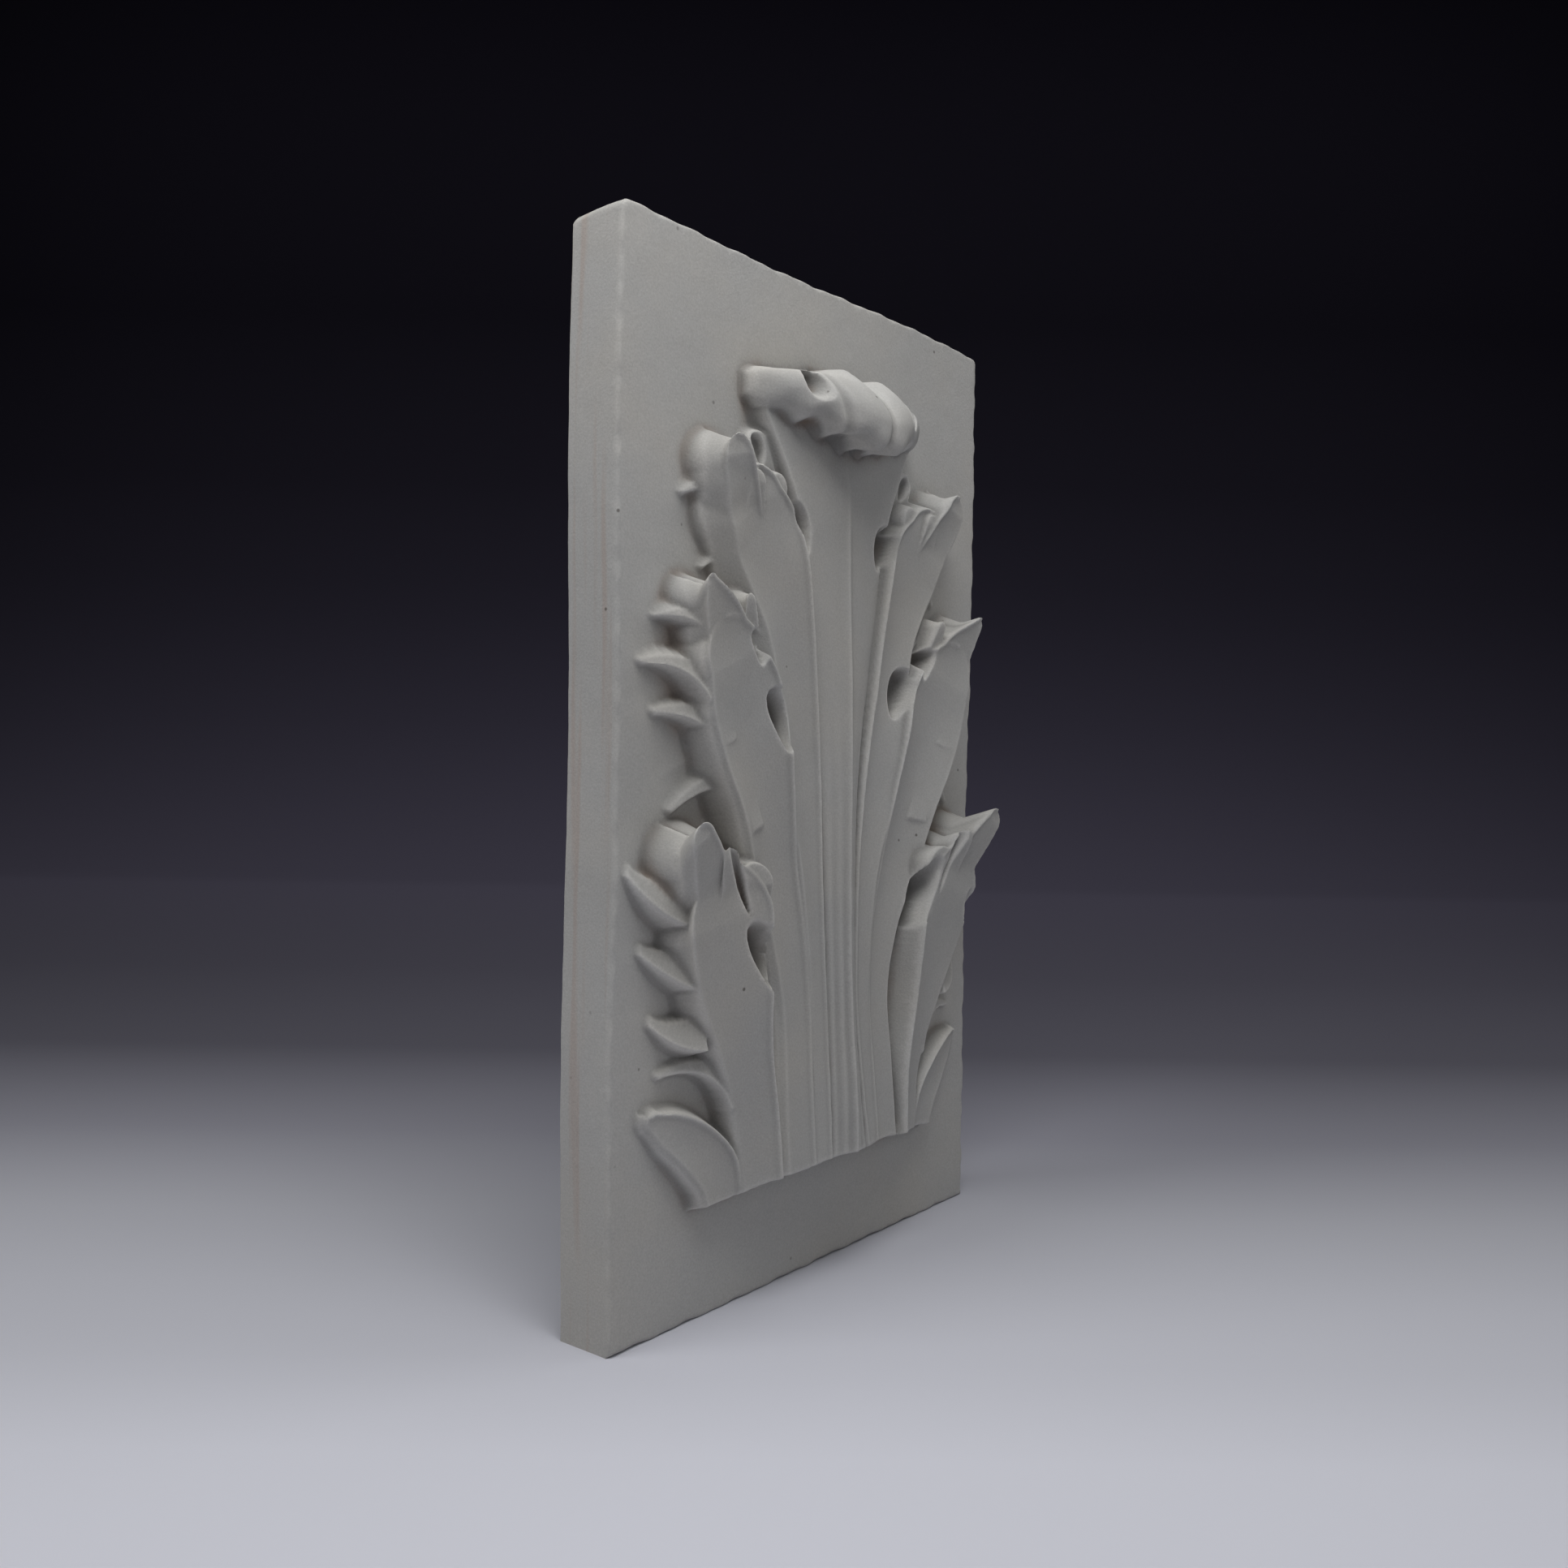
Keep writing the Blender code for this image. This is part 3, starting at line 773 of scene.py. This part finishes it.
def plasterMaterial():
    material = bpy.data.materials.new("castPlaster")
    material.use_nodes = True
    tree = material.node_tree
    shader = tree.nodes["Principled BSDF"]
    shader.inputs["Roughness"].default_value = plaster["roughness"]
    shader.inputs["Specular IOR Level"].default_value = plaster["sheen"]
    place = tree.nodes.new("ShaderNodeTexCoord").outputs["Object"]
    split = tree.nodes.new("ShaderNodeSeparateXYZ")
    tree.links.new(place, split.inputs[0])
    stored = tree.nodes.new("ShaderNodeAttribute")
    stored.attribute_name = "recess"
    recess = stored.outputs["Fac"]
    patches = remap(tree, shaderNoise(tree, place, plaster["patches"]), *plaster["patchRange"])
    warm = times(tree, patches, plaster["warmShare"])
    colour = mixColour(tree, warm, plaster["colour"], plaster["warm"])
    # painted shade in the hollows: a brown one and a dark grey one, spread in noise patches
    spread = remap(tree, shaderNoise(tree, place, plaster["brownShadeMarks"]), *plaster["brownShadeRange"])
    brownShadeMarks = times(tree, remap(tree, recess, *plaster["brownShadeHollow"]), spread)
    colour = mixColour(tree, times(tree, brownShadeMarks, plaster["brownShadeShare"]), colour, plaster["brownShade"])
    spread = remap(tree, shaderNoise(tree, place, plaster["darkShadeMarks"]), *plaster["darkShadeRange"])
    darkShade = times(tree, remap(tree, recess, *plaster["darkShadeHollow"]), spread)
    colour = mixColour(tree, times(tree, darkShade, plaster["darkShadeShare"]), colour, plaster["darkShade"])
    # upright streaks on the slab's left side alone
    long = tree.nodes.new("ShaderNodeMapping")
    long.inputs["Scale"].default_value = plaster["streaks"]
    tree.links.new(place, long.inputs["Vector"])
    near, far = (distance - slab["width"] / 2 for distance in plaster["sideBand"])
    edge, full = (slab["front"] + distance for distance in plaster["sideBehind"])
    side = times(
        tree,
        remap(tree, split.outputs["X"], near, far, 1.0, 0.0),
        remap(tree, split.outputs["Y"], edge, full),
    )
    upright = shaderNoise(tree, long.outputs[0], 1.0, 2.0)
    streaks = times(tree, side, remap(tree, upright, *plaster["streakRange"]))
    colour = mixColour(tree, times(tree, streaks, plaster["pinkShare"]), colour, plaster["pink"])
    # dark specks, in scattered groups
    dots = tree.nodes.new("ShaderNodeTexVoronoi")
    dots.inputs["Scale"].default_value = plaster["speckCells"]
    tree.links.new(place, dots.inputs["Vector"])
    specks = times(
        tree,
        remap(tree, dots.outputs["Distance"], *plaster["speckRange"]),
        remap(tree, shaderNoise(tree, place, plaster["speckGroups"]), *plaster["speckGroupRange"]),
    )
    colour = mixColour(tree, times(tree, specks, plaster["speckShare"]), colour, plaster["speck"])
    # crests are painted paler, partly rubbed wear and partly painted highlight; creases and hollows are
    # painted darker as painted shade
    crestNode = tree.nodes.new("ShaderNodeAttribute")
    crestNode.attribute_name = "crest"
    darkest, palest = 1 - plaster["creaseDark"], 1 + plaster["edgePale"]
    amount = times(
        tree,
        remap(tree, crestNode.outputs["Fac"], *plaster["crestRange"], darkest, palest),
        remap(tree, recess, 0.0, 1.0, 1.0, 1 - plaster["hollowDark"]),
    )
    # painted shade: the raised carving is painted darker than the flat of the slab, and all of it is
    # clouded
    low, high = (slab["front"] - distance for distance in plaster["carvingShadeBand"])
    carvingShaded = remap(tree, split.outputs["Y"], low, high, 1.0, 1 - plaster["carvingShade"])
    slow = shaderNoise(tree, place, plaster["clouds"], 4.0)
    clouds = remap(tree, slow, *plaster["cloudRange"], 1 - plaster["cloud"], 1 + plaster["cloud"])
    amount = times(tree, amount, times(tree, carvingShaded, clouds))
    quick = shaderNoise(tree, place, plaster["powder"], 2.0)
    powder = times(tree, amount, remap(tree, quick, *plaster["powderRange"]))
    combine = tree.nodes.new("ShaderNodeVectorMath")
    combine.operation = "SCALE"
    tree.links.new(colour, combine.inputs[0])
    tree.links.new(powder, combine.inputs["Scale"])
    tree.links.new(combine.outputs[0], shader.inputs["Base Color"])
    bump = tree.nodes.new("ShaderNodeBump")
    bump.inputs["Strength"].default_value = plaster["grainBump"]
    bump.inputs["Distance"].default_value = plaster["grainDepth"]
    tree.links.new(shaderNoise(tree, place, plaster["grain"]), bump.inputs["Height"])
    tree.links.new(bump.outputs[0], shader.inputs["Normal"])
    return material


def finishByHand(piece, material):
    # baked: the tree runs once, the result stays as a plain mesh, thinned to its budget
    tree = finishTree(material)
    skin = piece.modifiers.new("handFinish", "NODES")
    skin.node_group = tree
    for item in tree.interface.items_tree:
        if item.in_out == "INPUT" and item.name in handFinish:
            skin[item.identifier] = handFinish[item.name]
    thin = piece.modifiers.new("thin", "DECIMATE")
    thin.ratio = min(1.0, slab["triangles"] / len(piece.data.polygons))
    evaluated = piece.evaluated_get(bpy.context.evaluated_depsgraph_get())
    baked = bpy.data.meshes.new_from_object(evaluated)
    piece.modifiers.clear()
    piece.data = baked
    places = np.empty(len(baked.vertices) * 3)
    baked.vertices.foreach_get("co", places)
    heights = places[2::3]
    heights[heights < footHeight] = 0  # the foot stays flat on the floor
    baked.vertices.foreach_set("co", places)
    piece.data.shade_smooth()
    piece.data.set_sharp_from_angle(angle=math.radians(squareEdge))


castPlaster = plasterMaterial()
finishByHand(relief, castPlaster)
print("cast finished:", len(relief.data.polygons), "triangles")
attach(relief, "root")
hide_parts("relief")


# Floor that runs up into a backdrop, painted darker with distance as painted shade
studio = {
    "nearTint": (0.93, 0.94, 1.035),
    "farTint": (1.05, 0.94, 1.47),
    "backDistance": 3.2,
    "width": 9.0,
    "bend": 0.8,
    "wallHeight": 4.0,
    # painted shade: the paper is painted darker with its distance along the floor and up the wall, in
    # place of the light's falloff: metres, shade
    "fade": [
        (-0.5, 0.92),
        (-0.25, 0.85),
        (-0.16, 0.735),
        (-0.06, 0.69),
        (0.08, 0.59),
        (0.28, 0.365),
        (0.59, 0.168),
        (1.11, 0.152),
        (2.24, 0.175),
        (3.02, 0.112),
        (3.45, 0.079),
        (3.79, 0.057),
        (4.29, 0.026),
        (4.76, 0.0133),
        (5.9, 0.0115),
    ],
    "start": -2.5,  # how far the floor runs toward the camera
    "tintFrom": 0.2,  # where its tint starts to turn from near to far
    "tintOver": 5.4,
    "room": 0.01,  # strength of the even light from all round
}


def backdrop():
    # one sheet in the camera's direction: flat floor, a bend, then a wall
    bend = studio["bend"]
    profile = [(studio["start"], 0.0)]
    for turn in np.linspace(0, math.pi / 2, 13):
        away = studio["backDistance"] - bend + bend * math.sin(turn)
        profile.append((away, bend * (1 - math.cos(turn))))
    profile.append((studio["backDistance"], studio["wallHeight"]))
    half = studio["width"] / 2
    points = []
    for away, up in profile:
        points.append((-half, away, up))
        points.append((half, away, up))
    faces = [(2 * i, 2 * i + 1, 2 * i + 3, 2 * i + 2) for i in range(len(profile) - 1)]
    mesh = bpy.data.meshes.new("backdrop")
    mesh.from_pydata(points, [], faces)
    mesh.transform(Matrix.Rotation(-math.radians(view["yaw"]), 4, "Z"))
    mesh.shade_smooth()
    sheet = bpy.data.objects.new("backdrop", mesh)
    bpy.context.scene.collection.objects.link(sheet)
    material = bpy.data.materials.new("studioPaper")
    material.use_nodes = True
    tree = material.node_tree
    shader = tree.nodes["Principled BSDF"]
    shader.inputs["Roughness"].default_value = 1.0
    shader.inputs["Specular IOR Level"].default_value = 0.0
    place = tree.nodes.new("ShaderNodeTexCoord").outputs["Object"]
    turn = tree.nodes.new("ShaderNodeMapping")
    turn.inputs["Rotation"].default_value = (0, 0, math.radians(view["yaw"]))
    tree.links.new(place, turn.inputs["Vector"])
    split = tree.nodes.new("ShaderNodeSeparateXYZ")
    tree.links.new(turn.outputs[0], split.inputs[0])
    ramp = tree.nodes.new("ShaderNodeValToRGB")
    stops = studio["fade"]
    near, far = stops[0][0], stops[-1][0]
    while len(ramp.color_ramp.elements) < len(stops):
        ramp.color_ramp.elements.new(0.5)
    # painted shade: each stop's colour is the paper's painted darkness at that distance
    for element, (away, shade) in zip(ramp.color_ramp.elements, stops):
        element.position = (away - near) / (far - near)
        turned = math.sqrt(min(max((away - studio["tintFrom"]) / studio["tintOver"], 0), 1))
        both = zip(studio["nearTint"], studio["farTint"])
        element.color = tuple(shade * (a + (b - a) * turned) for a, b in both) + (1,)
    along = tree.nodes.new("ShaderNodeMath")
    tree.links.new(split.outputs["Y"], along.inputs[0])
    tree.links.new(split.outputs["Z"], along.inputs[1])
    tree.links.new(remap(tree, along.outputs[0], near, far), ramp.inputs["Fac"])
    tree.links.new(ramp.outputs["Color"], shader.inputs["Base Color"])
    mesh.materials.append(material)
    return sheet


# The photograph's camera, solved from the slab's corners
view = {
    "lens": 32.0,
    "yaw": 52.25,
    "pitch": -1.41,
    "roll": 0.929,
    "place": (-0.6913, -0.5063 + slab["front"], 0.3185),
    "sensor": 36,
}


def addCamera():
    data = bpy.data.cameras.new("camera")
    data.lens = view["lens"]
    data.sensor_width = view["sensor"]
    camera = bpy.data.objects.new("camera", data)
    bpy.context.scene.collection.objects.link(camera)
    yaw, pitch, roll = (math.radians(view[name]) for name in ("yaw", "pitch", "roll"))
    ahead = Vector((math.sin(yaw) * math.cos(pitch), math.cos(yaw) * math.cos(pitch), math.sin(pitch)))
    level = Vector((math.cos(yaw), -math.sin(yaw), 0))
    upright = level.cross(ahead)
    right = level * math.cos(roll) + upright * math.sin(roll)
    up = upright * math.cos(roll) - level * math.sin(roll)
    turn = Matrix((right, up, -ahead)).transposed().to_4x4()
    camera.matrix_world = Matrix.Translation(view["place"]) @ turn
    bpy.context.scene.camera = camera


# name: place, aimed at, width, depth, watts
lights = {
    "key": ((-0.35, -0.35, 1.15), (0, 0, 0.3), 0.5, 0.5, 4.3),
    "overhead": ((-0.05, -0.25, 1.6), (0, 0, 0.3), 0.9, 0.9, 3.0),
    "left": ((-1.3, 0.5, 1.2), (0, 0, 0.35), 0.9, 0.9, 7.6),
    "front": ((-0.3, -2.1, 1.0), (0, 0, 0.3), 1.6, 1.6, 3.6),
    "right": ((1.1, -1.0, 1.15), (0, 0, 0.3), 1.1, 1.1, 3.2),
    "backdrop": ((1.6, 1.2, 2.4), (2.6, 2.0, 0), 5.0, 0.8, 16),
}


def addLights():
    for name, (place, target, width, depth, watts) in lights.items():
        data = bpy.data.lights.new(name, "AREA")
        data.shape = "RECTANGLE"
        data.size = width
        data.size_y = depth
        data.energy = watts
        lamp = bpy.data.objects.new(name, data)
        bpy.context.scene.collection.objects.link(lamp)
        lamp.location = place
        lamp.rotation_euler = (Vector(target) - Vector(place)).to_track_quat("-Z", "Y").to_euler()
    world = bpy.data.worlds.new("room")
    world.use_nodes = True
    sky = world.node_tree.nodes["Background"]
    sky.inputs[0].default_value = (1, 1, 1, 1)
    sky.inputs[1].default_value = studio["room"]
    bpy.context.scene.world = world


backdrop()
addCamera()
addLights()
bpy.context.scene.view_settings.view_transform = "Standard"
print("studio set")
